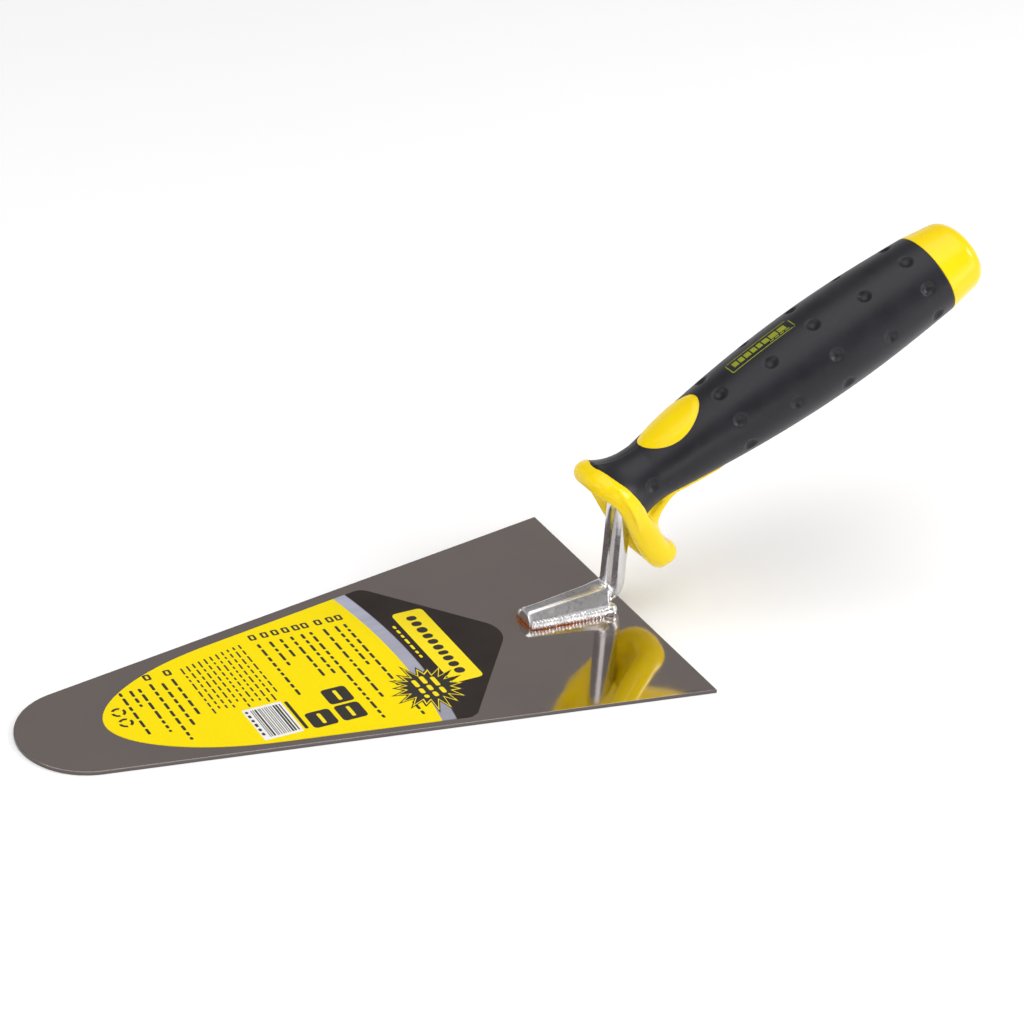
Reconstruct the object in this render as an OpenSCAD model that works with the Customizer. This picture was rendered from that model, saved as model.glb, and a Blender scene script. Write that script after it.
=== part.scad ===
// Brick trowel: a stainless blade, a welded steel tang and a two-component handle.
// The origin is on the blade's underside, below the axis of the tang's stem. +X points
// to the blade's nose, +Y to its left side and +Z up.

/* [Blade] */
// Length from the heel to the nose
blade_length = 200; // [170:1:230]
// Width across the heel
blade_width = 111; // [95:1:130]
// Radius of the rounded nose
nose_radius = 21.3; // [16:0.1:26]
// Thickness of the sheet
blade_thickness = 1.2; // [1:0.1:1.6]

/* [Label] */
// Distance from the heel to the label's pointed end
label_start = 44.5; // [42:0.5:50]
// Distance from the heel to the label's rounded end
label_end = 174; // [165:0.5:180]
// Bare margin between the label and the blade's sides
label_margin = 3.5; // [2:0.1:8]
// Distance of the label's middle from the blade's middle
label_shift = 0.8; // [-1.5:0.1:1.5]
// Thickness of the label
label_thickness = 0.15; // [0.1:0.05:0.3]

/* [Tang] */
// Distance of the stem's axis from the heel
stem_offset = 4.4; // [4:0.1:6]
// Diameter of the round stem
stem_diameter = 7.8; // [7:0.1:8.4]
// Length of the foot in front of the stem's axis
foot_length = 31; // [28:0.5:36]
// Width of the foot at its front end
foot_toe_width = 8; // [7:0.1:10]
// Height of the foot at its front end
foot_toe_height = 4.6; // [3.8:0.1:5.5]
// Width of the foot at the bend
foot_heel_width = 12.4; // [11:0.1:14]
// Radius of the bend inside the handle
bend_radius = 10; // [8:0.5:11]
// Length of the straight tail inside the handle
tail_length = 58; // [40:1:60]

/* [Handle] */
// Height at which the handle's axis crosses the heel's plane
handle_height = 44.7; // [43:0.1:48]
// Angle of the handle's axis above the blade
handle_angle = 27; // [24:0.5:30]
// Turn of the handle about its own axis, as it is pressed on the tang
handle_roll = -6; // [-8:1:8]
// Half height of the neck behind the guard
neck_height = 9.3; // [9:0.1:10]
// Half height of the thickest part
belly_height = 14.8; // [13.5:0.1:16]
// Half height where the grip meets the end cap
butt_height = 13.05; // [12.5:0.05:13.6]
// Width of the handle for each unit of its height
width_ratio = 1.13; // [1.05:0.01:1.2]
// Thickness of the soft grip
grip_thickness = 2; // [1.6:0.1:2.4]
// Height of the thumb pad above the grip
pad_rise = 0.4; // [0.2:0.1:1]

/* [Dimples] */
// Diameter of the ball that shapes a dimple
dimple_ball = 7; // [5:0.1:9]
// Depth of a dimple
dimple_depth = 0.8; // [0.5:0.1:1.1]

/* [End cap] */
// Length of the cap behind the grip
cap_length = 14.7; // [11:0.1:16]
// Rounding of the cap's end
cap_round = 4.8; // [3:0.1:5.5]

/* [Hidden] */
$fn = 64;
facets = 36;
bead_facets = 16;
steel = [0.46, 0.43, 0.42];
bright_steel = [0.72, 0.72, 0.73];
yellow = [0.96, 0.84, 0.02];
black = [0.11, 0.11, 0.12];

// Straight sides of the blade, each touching the nose's circle
nose_centre = blade_length - nose_radius;
half_heel = blade_width / 2;
side_angle = acos(nose_radius / norm([nose_centre, half_heel])) - atan2(nose_centre, half_heel);
function side_y(x) = half_heel - x * tan(side_angle);

// Outline of the label, with x counted from the heel
label_corner_x = 75;
label_nose_x = 128;
label_apex_radius = 9;
label_corner_radius = 4.5;
label_nose_steps = 14;
label_nose_power = 2.6;
function label_side(x) = side_y(x) - label_margin / cos(side_angle);
function label_nose(t) = [label_nose_x + t * (label_end - label_nose_x),
    label_side(label_nose_x + t * (label_end - label_nose_x)) * sqrt(1 - pow(t, label_nose_power))];

// Rod that the tang is forged from: its foot lies on the blade and its stem stands
rod = stem_diameter / 2;
heel_bend = 4.6;
rod_lift = 0.05;
rod_z = blade_thickness + rod + rod_lift;
foot_top = 2 * (rod + rod_lift);
tail_end = 0.7 * rod;
tail_step = 0.2;
tail_lap = 1;
foot_lap = 1;
foot_nose = 1.2;
foot_slice = 0.1;
foot_edge_share = 0.4;
foot_ridges = [2.6, 1.6, 1];
bore_lap = 0.2;
weld_radius = 1.5;
weld_ripples = 12;
blob_radius = 2.5;
weld_height = 0.3;
blob_height = 1.2;
cut_size = 100;

// Places along the handle's axis, counted from where it crosses the heel's plane
neck_s = 5;
belly_s = 75;
butt_s = 114.6;
flare_s = -9;
flare_height = 13.2;
flare_power = 2.7;
swell = 0.93;
neck_drop = 0.4;
drop_start = 10;
drop_run = 16;
cavity_s = 70;
cavity_radius = 7;
bore_reach = 60;
spigot_s = 100;
spigot_radius = 8.6;
spigot_wall = 1.6;
press_gap = 0.02;
cap_draft = 0.085;
cap_end_s = butt_s + cap_length;

// Where the stem's axis meets the handle's axis, and the length that the bend takes from each
meet_s = -stem_offset / cos(handle_angle);
meet_z = handle_height + meet_s * sin(handle_angle);
bend_angle = 90 - handle_angle;
bend_reach = bend_radius * tan(bend_angle / 2);

// Guard: each row is [front, rear, half width, height, radius] of its rounded edge, from the top
// of the handle down to the tip of the finger stop
guard_rim = [
    [-12.2, -12.2, 0, 9.9, 3.1],
    [-12.0, -11.7, 4.8, 9.3, 3.1],
    [-10.4, -10.0, 8.6, 6.4, 3.0],
    [-8.8, -8.4, 10.2, 2.0, 2.9],
    [-8.4, -7.2, 10.2, -3.8, 3.0],
    [-8.2, -6.2, 9.0, -10.8, 3.1],
    [-7.6, -5.6, 7.6, -17.8, 3.2],
    [-6.4, -4.8, 6.4, -23.6, 3.4],
    [-4.8, -3.6, 4.4, -27.3, 3.9],
    [-4.4, -3.6, 0, -28.3, 3.9]
];
web_radius = 2;
web_shift = 0.5;

// Throat between the handle's underside and the finger stop: [place, half width, height, radius]
guard_throat = [[7, 6.5, -7.75, 0.85], [1.5, 6.3, -9.35, 1.65], [-2.6, 5.5, -12, 2.6],
    [-5, 5.5, -17, 2.4]];

// Side outline of the part of the handle where the hard core shows: [place, height]
core_zone = [[-20, 20], [-9, 13.4], [-8.4, 11.5], [-6.6, 9.2], [-5, 5], [-4.1, 0], [-3.2, -9.3],
    [1.4, -7.7], [6.4, -6.9], [13, -7.9], [22, -10], [27, -11.6], [31, -20], [-20, -20]];

// Thumb pad: its middle's place, and half its length and width
pad_s = 17.8;
pad_half_length = 11.5;
pad_half_width = 8.1;

// Rings of dimples: [place, number around, first angle], and one dimple on each side of the neck
dimple_facets = 18;
dimple_rings = [[34.6, 8, 22.5], [52.9, 6, 30], [70.9, 8, 22.5], [89.3, 6, 30], [107.3, 8, 22.5]];
neck_dimples = [[1.7, 78], [1.7, -78]];

// Rings that shape the handle: [place, how far the surface is moved in]
front_s = -9.3;
function handle_rings(inset, last) = [for (s = [front_s, -7, -4.5, -2, 1.5, 5, 11, 17, 23, 29, 36, 45, 55,
    65, 75, 85, 95, 105, last]) [s, inset]];

// How far the neck lies below the handle's axis at a place, easing out over the thumb pad
function axis_drop(s) = let (t = min(1, max(0, (s - drop_start) / drop_run)))
    neck_drop * (1 - t * t * (3 - 2 * t));

// Half height of the handle at a place along its axis
function half_height(s) =
    s < neck_s ? neck_height
        + (flare_height - neck_height) * pow((neck_s - s) / (neck_s - flare_s), flare_power)
    : s < belly_s ? neck_height
        + (belly_height - neck_height) * pow(sin(90 * (s - neck_s) / (belly_s - neck_s)), swell)
    : butt_height + (belly_height - butt_height) * cos(90 * (s - belly_s) / (butt_s - belly_s));
function half_width(s) = half_height(s) * width_ratio;

// Solid through rings around the handle's axis, each given as [place, how far it is moved in]
module lofted(rings) {
    last_ring = len(rings) - 1;
    points = [for (ring = rings, i = [0 : facets - 1])
        let (a = 360 * i / facets)
        [(half_height(ring[0]) - ring[1]) * cos(a) - axis_drop(ring[0]),
            (half_width(ring[0]) - ring[1]) * sin(a), ring[0]]];
    sides = [for (k = [0 : last_ring - 1], i = [0 : facets - 1])
        let (j = (i + 1) % facets)
        [k * facets + i, (k + 1) * facets + i, (k + 1) * facets + j, k * facets + j]];
    first = [for (i = [0 : facets - 1]) i];
    last = [for (i = [facets - 1 : -1 : 0]) last_ring * facets + i];
    polyhedron(points, concat(sides, [first, last]), convexity = 4);
}

// Moves a piece from the heel's frame to the stem's frame
module from_heel() {
    translate([-stem_offset, 0, 0]) children();
}

// Frame of the handle: Z backwards along its axis, X towards its upper side
module at_handle() {
    from_heel() translate([0, 0, handle_height])
        rotate([0, handle_angle - 90, 0]) rotate([0, 0, handle_roll]) children();
}

module ball(s, y, w, r) {
    translate([w, y, s]) sphere(r, $fn = bead_facets);
}

module blade() {
    tangent_x = nose_centre + nose_radius * sin(side_angle);
    tangent_y = nose_radius * cos(side_angle);
    color(steel) from_heel() linear_extrude(blade_thickness) union() {
        polygon([[0, -half_heel], [tangent_x, -tangent_y], [tangent_x, tangent_y], [0, half_heel]]);
        translate([nose_centre, 0]) circle(nose_radius);
    }
}

module label() {
    nose = [for (i = [0 : label_nose_steps]) label_nose(i / label_nose_steps)];
    corner_y = label_side(label_corner_x) - label_corner_radius;
    color(yellow) from_heel() translate([0, label_shift, blade_thickness])
        linear_extrude(label_thickness) hull() {
            translate([label_start + label_apex_radius, 0]) circle(label_apex_radius);
            for (side = [-1, 1]) {
                translate([label_corner_x, side * corner_y]) circle(label_corner_radius);
            }
            polygon(concat(nose, [for (i = [len(nose) - 1 : -1 : 0]) [nose[i][0], -nose[i][1]]]));
        }
}

// Foot of the tang: a forged wedge with bevelled sides and a flat ridge
module foot() {
    hull() {
        foot_section(heel_bend - foot_lap, foot_heel_width, foot_top, foot_ridges[0]);
        foot_section(foot_length - foot_nose, foot_toe_width, foot_toe_height, foot_ridges[1]);
        foot_section(foot_length, foot_toe_width - foot_nose, foot_toe_height - foot_nose, foot_ridges[2]);
    }
}

// Thin slice of the foot at x: upright edges, bevelled sides and a ridge of the given half width
module foot_section(x, width, height, ridge) {
    half = width / 2;
    edge = foot_edge_share * height;
    translate([x, 0, blade_thickness]) rotate([90, 0, 90]) linear_extrude(foot_slice)
        polygon([[-half, 0], [half, 0], [half, edge], [ridge, height], [-ridge, height], [-half, edge]]);
}

// Rod of the tang: the heel bend, the stem, the bend inside the handle and the tapered tail.
// A cutter of this shape has its pieces lap over each other.
module rod_path(r, tail_r, lap = 0) {
    stem_foot = rod_z + heel_bend;
    stem_head = meet_z - bend_reach;
    translate([heel_bend, 0, stem_foot]) rotate([90, 0, 0]) rotate([0, 0, 180])
        rotate_extrude(angle = 90) translate([heel_bend, 0]) circle(r);
    translate([0, 0, stem_foot - lap]) cylinder(h = stem_head - stem_foot + 2 * lap, r = r);
    translate([-bend_radius, 0, stem_head]) rotate([90, 0, 0])
        rotate_extrude(angle = bend_angle) translate([bend_radius, 0]) circle(r);
    translate([-bend_radius, 0, stem_head]) rotate([0, -bend_angle, 0])
        translate([bend_radius, 0, -tail_lap])
            cylinder(h = tail_length + tail_lap, r1 = r - tail_step, r2 = tail_r);
}

module tang() {
    color(bright_steel) union() {
        foot();
        rod_path(rod, tail_end);
    }
}

// Ripples of one weld bead along a side of the foot, with a larger blob at the bend
module weld(side) {
    start = [heel_bend - 0.5, foot_heel_width / 2 + 0.1];
    stop = [foot_length - 1, foot_toe_width / 2 + 0.1];
    color(bright_steel) difference() {
        union() {
            for (i = [0 : weld_ripples - 1]) {
                t = i / (weld_ripples - 1);
                x = start[0] + t * (stop[0] - start[0]);
                y = start[1] + t * (stop[1] - start[1]);
                translate([x, side * y, blade_thickness + weld_height]) sphere(weld_radius);
            }
            translate([start[0] - 1, side * (start[1] - 0.6), blade_thickness + blob_height])
                sphere(blob_radius);
        }
        foot();
        rod_path(rod, tail_end, bore_lap);
        translate([-cut_size / 2, -cut_size / 2, blade_thickness - cut_size]) cube(cut_size);
    }
}

module weld_left() {
    weld(1);
}

module weld_right() {
    weld(-1);
}

// Rounded edge of the guard between two of its rows, on one side
module rim_span(near, next, side) {
    hull() {
        for (row = [near, next]) {
            ball(row[0], side * row[2], row[3], row[4]);
            ball(row[1], side * row[2], row[3], row[4]);
        }
    }
}

// Guard around the handle's front: its rounded edge, the dished web inside it, and the finger
// stop with its throat
module guard() {
    last = len(guard_rim) - 1;
    for (i = [0 : last - 1], side = [-1, 1]) {
        rim_span(guard_rim[i], guard_rim[i + 1], side);
    }
    for (i = [1 : last - 1]) {
        hull() {
            for (row = [guard_rim[i], guard_rim[i + 1]], side = [-1, 1]) {
                ball(row[1] + web_shift, side * row[2], row[3], web_radius);
            }
        }
    }
    for (i = [0 : len(guard_throat) - 2]) {
        hull() {
            for (row = [guard_throat[i], guard_throat[i + 1]], side = [-1, 1]) {
                ball(row[0], side * row[1], row[2], row[3]);
            }
        }
    }
}

// Prism across the whole width of the handle where the hard core shows
module core_side() {
    rotate([90, 0, 0]) linear_extrude(80, center = true) polygon([for (p = core_zone) [p[1], p[0]]]);
}

// Prism above the handle around the thumb pad
module pad_side() {
    translate([0, 0, pad_s]) rotate([0, 90, 0]) linear_extrude(30)
        scale([pad_half_length, pad_half_width]) circle(1);
}

module handle_core() {
    color(yellow) difference() {
        at_handle() union() {
            lofted(handle_rings(grip_thickness, butt_s));
            intersection() {
                lofted([for (ring = handle_rings(0, butt_s)) if (ring[0] < 40) ring]);
                core_side();
            }
            intersection() {
                lofted([for (s = [4 : 3 : 31]) [s, -pad_rise]]);
                pad_side();
            }
            guard();
        }
        rod_path(rod + press_gap, tail_end + press_gap, bore_lap);
        at_handle() {
            translate([0, 0, cavity_s]) cylinder(h = bore_reach, r = cavity_radius);
            translate([0, 0, spigot_s]) cylinder(h = bore_reach, r = spigot_radius);
        }
    }
}

// Ball that cuts one dimple, at a place along the handle and an angle from its upper side
module dimple(s, angle) {
    lift = dimple_ball / 2 - dimple_depth;
    outward = [cos(angle) / half_height(s), sin(angle) / half_width(s)];
    place = [half_height(s) * cos(angle), half_width(s) * sin(angle)] + lift * outward / norm(outward);
    translate([place[0] - axis_drop(s), place[1], s]) sphere(dimple_ball / 2, $fn = dimple_facets);
}

module grip_sleeve() {
    color(black) at_handle() difference() {
        lofted(handle_rings(0, butt_s));
        lofted(concat([[front_s - 3, grip_thickness]], handle_rings(grip_thickness, butt_s),
            [[butt_s + 1, grip_thickness]]));
        core_side();
        pad_side();
        for (ring = dimple_rings, i = [0 : ring[1] - 1]) {
            dimple(ring[0], ring[2] + 360 * i / ring[1]);
        }
        for (place = neck_dimples) {
            dimple(place[0], place[1]);
        }
    }
}

// Cap pressed into the back of the core, with a hollow spigot
module end_cap() {
    rounding = [for (a = [0 : 15 : 90])
        let (s = cap_end_s - cap_round * (1 - sin(a)))
        [s, cap_round * (1 - cos(a)) + cap_draft * (s - butt_s)]];
    color(yellow) at_handle() union() {
        lofted(concat([[butt_s, 0]], rounding));
        translate([0, 0, spigot_s + 1]) difference() {
            cylinder(h = butt_s - spigot_s - 0.5, r = spigot_radius);
            translate([0, 0, -1]) cylinder(h = butt_s - spigot_s - 0.5, r = spigot_radius - spigot_wall);
        }
    }
}

blade();
tang();
weld_left();
weld_right();
handle_core();
grip_sleeve();
end_cap();
label();
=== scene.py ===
"""Brick trowel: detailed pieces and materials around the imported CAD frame.

Shapes are worked out in millimetres in the CAD frame (+X to the blade's nose, +Z up), and the
meshes are in metres. The handle has its own frame: w towards its upper side, y across it, and s
backwards along its axis, counted from where the axis crosses the plane of the blade's heel.
"""

import math
import random

import bpy
import numpy as np
from mathutils import Matrix, Vector


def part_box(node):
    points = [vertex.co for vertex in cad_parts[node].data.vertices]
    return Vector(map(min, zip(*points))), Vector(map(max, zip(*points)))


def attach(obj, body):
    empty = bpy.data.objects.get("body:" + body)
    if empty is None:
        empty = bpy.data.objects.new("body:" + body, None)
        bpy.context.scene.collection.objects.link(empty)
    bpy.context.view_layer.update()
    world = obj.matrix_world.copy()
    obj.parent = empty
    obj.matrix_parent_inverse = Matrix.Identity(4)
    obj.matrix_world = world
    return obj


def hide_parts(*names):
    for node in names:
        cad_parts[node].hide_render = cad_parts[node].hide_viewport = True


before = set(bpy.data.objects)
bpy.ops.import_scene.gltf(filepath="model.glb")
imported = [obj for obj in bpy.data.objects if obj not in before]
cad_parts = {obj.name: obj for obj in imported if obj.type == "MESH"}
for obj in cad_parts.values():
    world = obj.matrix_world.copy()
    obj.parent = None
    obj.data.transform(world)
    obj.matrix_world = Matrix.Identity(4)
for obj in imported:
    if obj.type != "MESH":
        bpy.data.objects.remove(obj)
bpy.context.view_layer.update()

MM = 0.001
BODY = "root"

# Places read from the frame, in millimetres
blade_low, blade_high = (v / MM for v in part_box("blade"))
label_low, label_high = (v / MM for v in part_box("label"))
HEEL_X = blade_low.x
BLADE_TOP = blade_high.z
BLADE_LENGTH = blade_high.x - blade_low.x
BLADE_HALF_HEEL = blade_high.y
LABEL_TOP = label_high.z

# Blade and label
NOSE_RADIUS = 21.3
LABEL_MARGIN = 3.5
LABEL_SHIFT = 0.8
LABEL_CORNER_X = 75
LABEL_NOSE_X = 128
LABEL_APEX_RADIUS = 9
LABEL_CORNER_RADIUS = 4.5

# Tang
ROD = 3.9
HEEL_BEND = 4.6
STEM_OFFSET = -HEEL_X
FOOT_LENGTH = 31
BEND_RADIUS = 10
TAIL_LENGTH = 58

# Handle
HANDLE_HEIGHT = 44.7
HANDLE_ANGLE = math.radians(27)
HANDLE_ROLL = math.radians(-6)
NECK_HEIGHT = 9.3
BELLY_HEIGHT = 14.8
BUTT_HEIGHT = 13.05
WIDTH_RATIO = 1.13
GRIP_THICKNESS = 2
NECK_S, BELLY_S, BUTT_S, FLARE_S = 5, 75, 114.6, -9
FLARE_HEIGHT, FLARE_POWER = 13.2, 2.7
SWELL = 0.93
NECK_DROP, DROP_START, DROP_END = 0.4, 10, 26
BODY_FRONT = -9.3
HOLLOWS = ((70, 7), (100, 8.6))
BORE_GAP = 0.03
CAP_LENGTH = 14.7
CAP_ROUND = 4.8
CAP_DRAFT = 0.085
PAD_S, PAD_HALF_LENGTH, PAD_HALF_WIDTH, PAD_SHIFT = 17.8, 11.5, 8.6, 0.5
PAD_RISE = 0.4
STRIP_RISE = 0.45
GRIP_LAP = 0.3
GRIP_OVERHANG = 0.45


# ---------------------------------------------------------------- shape functions

def curve(x, knots):
    """Smooth line through (place, value) knots, level beyond the first and the last."""
    xs, ys = np.array(knots, float).T
    slope = np.gradient(ys, xs)
    k = np.clip(np.searchsorted(xs, x) - 1, 0, len(xs) - 2)
    h = xs[k + 1] - xs[k]
    t = np.clip((x - xs[k]) / h, 0, 1)
    inner = ((2 * t**3 - 3 * t**2 + 1) * ys[k] + (t**3 - 2 * t**2 + t) * h * slope[k]
             + (3 * t**2 - 2 * t**3) * ys[k + 1] + (t**3 - t**2) * h * slope[k + 1])
    return inner


def smoothstep(low, high, x):
    t = np.clip((x - low) / (high - low), 0, 1)
    return t * t * (3 - 2 * t)


def blend_min(a, b, reach):
    """The smaller of two distances, with a fillet where they are within reach of each other."""
    h = np.clip(0.5 + 0.5 * (b - a) / reach, 0, 1)
    return b + (a - b) * h - reach * h * (1 - h)


def blend_max(a, b, reach):
    return -blend_min(-a, -b, reach)


def half_height(s):
    """Half height of the grip's outer surface at a place along the handle."""
    spread = np.clip((NECK_S - s) / (NECK_S - FLARE_S), 0, 1) ** FLARE_POWER
    flare = NECK_HEIGHT + (FLARE_HEIGHT - NECK_HEIGHT) * spread
    rise = np.clip((s - NECK_S) / (BELLY_S - NECK_S), 0, 1)
    swell = NECK_HEIGHT + (BELLY_HEIGHT - NECK_HEIGHT) * np.sin(rise * np.pi / 2) ** SWELL
    fall = np.clip((s - BELLY_S) / (BUTT_S - BELLY_S), 0, 2)
    back = BUTT_HEIGHT + (BELLY_HEIGHT - BUTT_HEIGHT) * np.cos(fall * np.pi / 2)
    return np.where(s < NECK_S, flare, np.where(s < BELLY_S, swell, back))


def axis_drop(s):
    """How far the neck lies below the handle's axis."""
    return NECK_DROP * (1 - smoothstep(DROP_START, DROP_END, s))


def ring_points(s, angle, inset=0.0):
    """Points (w, y, s) on the handle's surface, moved in by inset."""
    height = half_height(s) - inset
    width = half_height(s) * WIDTH_RATIO - inset
    return np.stack([height * np.cos(angle) - axis_drop(s), width * np.sin(angle), s + 0 * angle], -1)


HANDLE_FRAME = (Matrix.Translation((HEEL_X, 0, HANDLE_HEIGHT))
                @ Matrix.Rotation(HANDLE_ANGLE - math.pi / 2, 4, "Y") @ Matrix.Rotation(HANDLE_ROLL, 4, "Z"))
HANDLE_TURN = np.array(HANDLE_FRAME.to_3x3())
HANDLE_PLACE = np.array(HANDLE_FRAME.translation)


def from_handle(p):
    return p @ HANDLE_TURN.T + HANDLE_PLACE


# ---------------------------------------------------------------- mesh helpers

def add_piece(name, points, faces, stands_for, slot, material, smooth=True):
    """A mesh piece from millimetre points. It stands for CAD nodes and rides on the trowel's body."""
    mesh = bpy.data.meshes.new(name)
    mesh.from_pydata((np.asarray(points) * MM).tolist(), [], [list(map(int, f)) for f in faces])
    mesh.validate()
    piece = bpy.data.objects.new(name, mesh)
    bpy.context.scene.collection.objects.link(piece)
    if smooth:
        mesh.polygons.foreach_set("use_smooth", [True] * len(mesh.polygons))
    mesh.materials.append(material)
    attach(piece, BODY)
    if stands_for:
        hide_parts(*stands_for)
    return piece


def surface_net(field, low, high, cell):
    """Closed quad mesh of the surface where field is zero, for a field that is negative inside."""
    axes = [np.arange(a, b + cell, cell) for a, b in zip(low, high)]
    grid = np.stack(np.meshgrid(*axes, indexing="ij"), -1)
    value = field(grid.reshape(-1, 3)).reshape(grid.shape[:3])
    cells = np.array(value.shape)
    total = np.zeros((cells.prod(), 3))
    count = np.zeros(cells.prod())
    rings = []
    for axis in range(3):
        near = value[tuple(slice(0, -1) if a == axis else slice(None) for a in range(3))]
        far = value[tuple(slice(1, None) if a == axis else slice(None) for a in range(3))]
        index = np.argwhere((near < 0) != (far < 0))
        a, b = near[tuple(index.T)], far[tuple(index.T)]
        point = np.array(low, float) + index * cell
        point[:, axis] += a / (a - b) * cell
        u, v = (axis + 1) % 3, (axis + 2) % 3
        ring = []
        for du, dv in ((0, 0), (-1, 0), (-1, -1), (0, -1)):
            corner = index.copy()
            corner[:, u] += du
            corner[:, v] += dv
            flat = np.ravel_multi_index(tuple(corner.T), tuple(cells), mode="clip")
            for k in range(3):
                total[:, k] += np.bincount(flat, point[:, k], len(total))
            count += np.bincount(flat, minlength=len(count))
            ring.append(flat)
        ring = np.stack(ring, -1)
        ring[a >= 0] = ring[a >= 0][:, ::-1]
        rings.append(ring)
    used = count > 0
    number = np.cumsum(used) - 1
    return total[used] / count[used][:, None], number[np.concatenate(rings)]


def settle(field, points, cell, rounds=3):
    """Moves a net's points onto the exact surface of its field."""
    step = 0.02
    for _ in range(rounds):
        value = field(points)
        slope = np.stack([(field(points + d) - field(points - d)) / (2 * step)
                          for d in np.eye(3) * step], -1)
        size = np.maximum((slope**2).sum(1), 0.05)
        points = points - slope * np.clip(value / size, -cell / 2, cell / 2)[:, None]
    return points


def relax(points, quads, share=0.5):
    """Moves each point towards the middle of its neighbours, which evens out the net."""
    total = np.zeros_like(points)
    count = np.zeros(len(points))
    for k in range(4):
        a, b = quads[:, k], quads[:, (k + 1) % 4]
        for x, y in ((a, b), (b, a)):
            for axis in range(3):
                total[:, axis] += np.bincount(x, points[y, axis], len(points))
            count += np.bincount(x, minlength=len(points))
    return points + (total / count[:, None] - points) * share


def sculpt(field, low, high, cell):
    points, quads = surface_net(field, low, high, cell)
    for _ in range(2):
        points = settle(field, relax(points, quads), cell)
    return points, quads


def chain(p, places, radii):
    """Distance from points to a round bar through places, with a radius at each."""
    best = np.full(len(p), 1e9)
    for a, b, ra, rb in zip(places[:-1], places[1:], radii[:-1], radii[1:]):
        along = b - a
        t = np.clip((p - a) @ along / max(along @ along, 1e-9), 0, 1)
        best = np.minimum(best, np.linalg.norm(p - a - t[:, None] * along, axis=1) - (ra + (rb - ra) * t))
    return best


def plate(p, places, halves, radius):
    """Distance to a plate of the given half thickness that runs across the handle from -half to half
    at each of its places (w, s)."""
    best = np.full(len(p), 1e9)
    flat = p[:, [0, 2]]
    side = np.abs(p[:, 1])
    spans = zip(places[:-1], places[1:], halves[:-1], halves[1:], radius[:-1], radius[1:])
    for a, b, ha, hb, ra, rb in spans:
        along = b - a
        t = np.clip((flat - a) @ along / (along @ along), 0, 1)
        off = ((flat - a - t[:, None] * along) ** 2).sum(1)
        over = np.maximum(side - (ha + (hb - ha) * t), 0)
        best = np.minimum(best, np.sqrt(off + over**2) - (ra + (rb - ra) * t))
    return best


# ---------------------------------------------------------------- material helpers

class Recipe:
    """A material's node tree, with short calls for the nodes that these materials share."""

    def __init__(self, name, **values):
        self.material = bpy.data.materials.new(name)
        self.material.use_nodes = True
        self.tree = self.material.node_tree
        self.shader = self.tree.nodes["Principled BSDF"]
        for key, value in values.items():
            self.shader.inputs[key.replace("_", " ")].default_value = value
        self.place = self.node("ShaderNodeTexCoord").outputs["Object"]

    def node(self, kind, inputs=(), **settings):
        made = self.tree.nodes.new(kind)
        for key, value in settings.items():
            setattr(made, key, value)
        for key, value in dict(inputs).items():
            if isinstance(value, bpy.types.NodeSocket):
                self.tree.links.new(value, made.inputs[key])
            else:
                made.inputs[key].default_value = value
        return made

    def set(self, **links):
        for key, value in links.items():
            self.tree.links.new(value, self.shader.inputs[key.replace("_", " ")])

    def stretched(self, scale, turn=(0, 0, 0)):
        inputs = {"Vector": self.place, "Scale": scale, "Rotation": turn}
        return self.node("ShaderNodeMapping", inputs).outputs[0]

    def noise(self, scale, detail=3, vector=None, roughness=0.55, distortion=0):
        return self.node("ShaderNodeTexNoise", {
            "Vector": vector or self.place, "Scale": scale, "Detail": detail,
            "Roughness": roughness, "Distortion": distortion}).outputs["Fac"]

    def cells(self, scale, vector=None):
        inputs = {"Vector": vector or self.place, "Scale": scale}
        return self.node("ShaderNodeTexVoronoi", inputs).outputs["Distance"]

    def math(self, operation, a, b=0.0, c=0.0):
        return self.node("ShaderNodeMath", {0: a, 1: b, 2: c}, operation=operation).outputs[0]

    def span(self, value, low, high, to_low=0.0, to_high=1.0, smooth=False):
        return self.node("ShaderNodeMapRange", {
            "Value": value, "From Min": low, "From Max": high, "To Min": to_low, "To Max": to_high},
            interpolation_type="SMOOTHSTEP" if smooth else "LINEAR").outputs[0]

    def mix(self, factor, a, b):
        made = self.node("ShaderNodeMix", data_type="RGBA")
        for socket, value in zip((made.inputs[0], made.inputs[6], made.inputs[7]), (factor, a, b)):
            if isinstance(value, bpy.types.NodeSocket):
                self.tree.links.new(value, socket)
            else:
                socket.default_value = value if socket is made.inputs[0] else (*value, 1)
        return made.outputs[2]

    def axes(self):
        """The X, Y and Z of a place, in millimetres."""
        split = self.node("ShaderNodeSeparateXYZ", {0: self.place})
        return [self.math("MULTIPLY", o, 1000.0) for o in split.outputs]

    def bump(self, *layers):
        """Bump from (height, depth in millimetres) layers."""
        normal = None
        for height, depth in layers:
            inputs = {"Height": height, "Strength": 1.0, "Distance": depth * MM}
            if normal:
                inputs["Normal"] = normal
            normal = self.node("ShaderNodeBump", inputs).outputs[0]
        self.set(Normal=normal)


def srgb(r, g, b):
    """Linear colour from 0 to 255 display values."""
    return tuple(((c / 255 + 0.055) / 1.055) ** 2.4 if c > 10 else c / 255 / 12.92 for c in (r, g, b))


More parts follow.
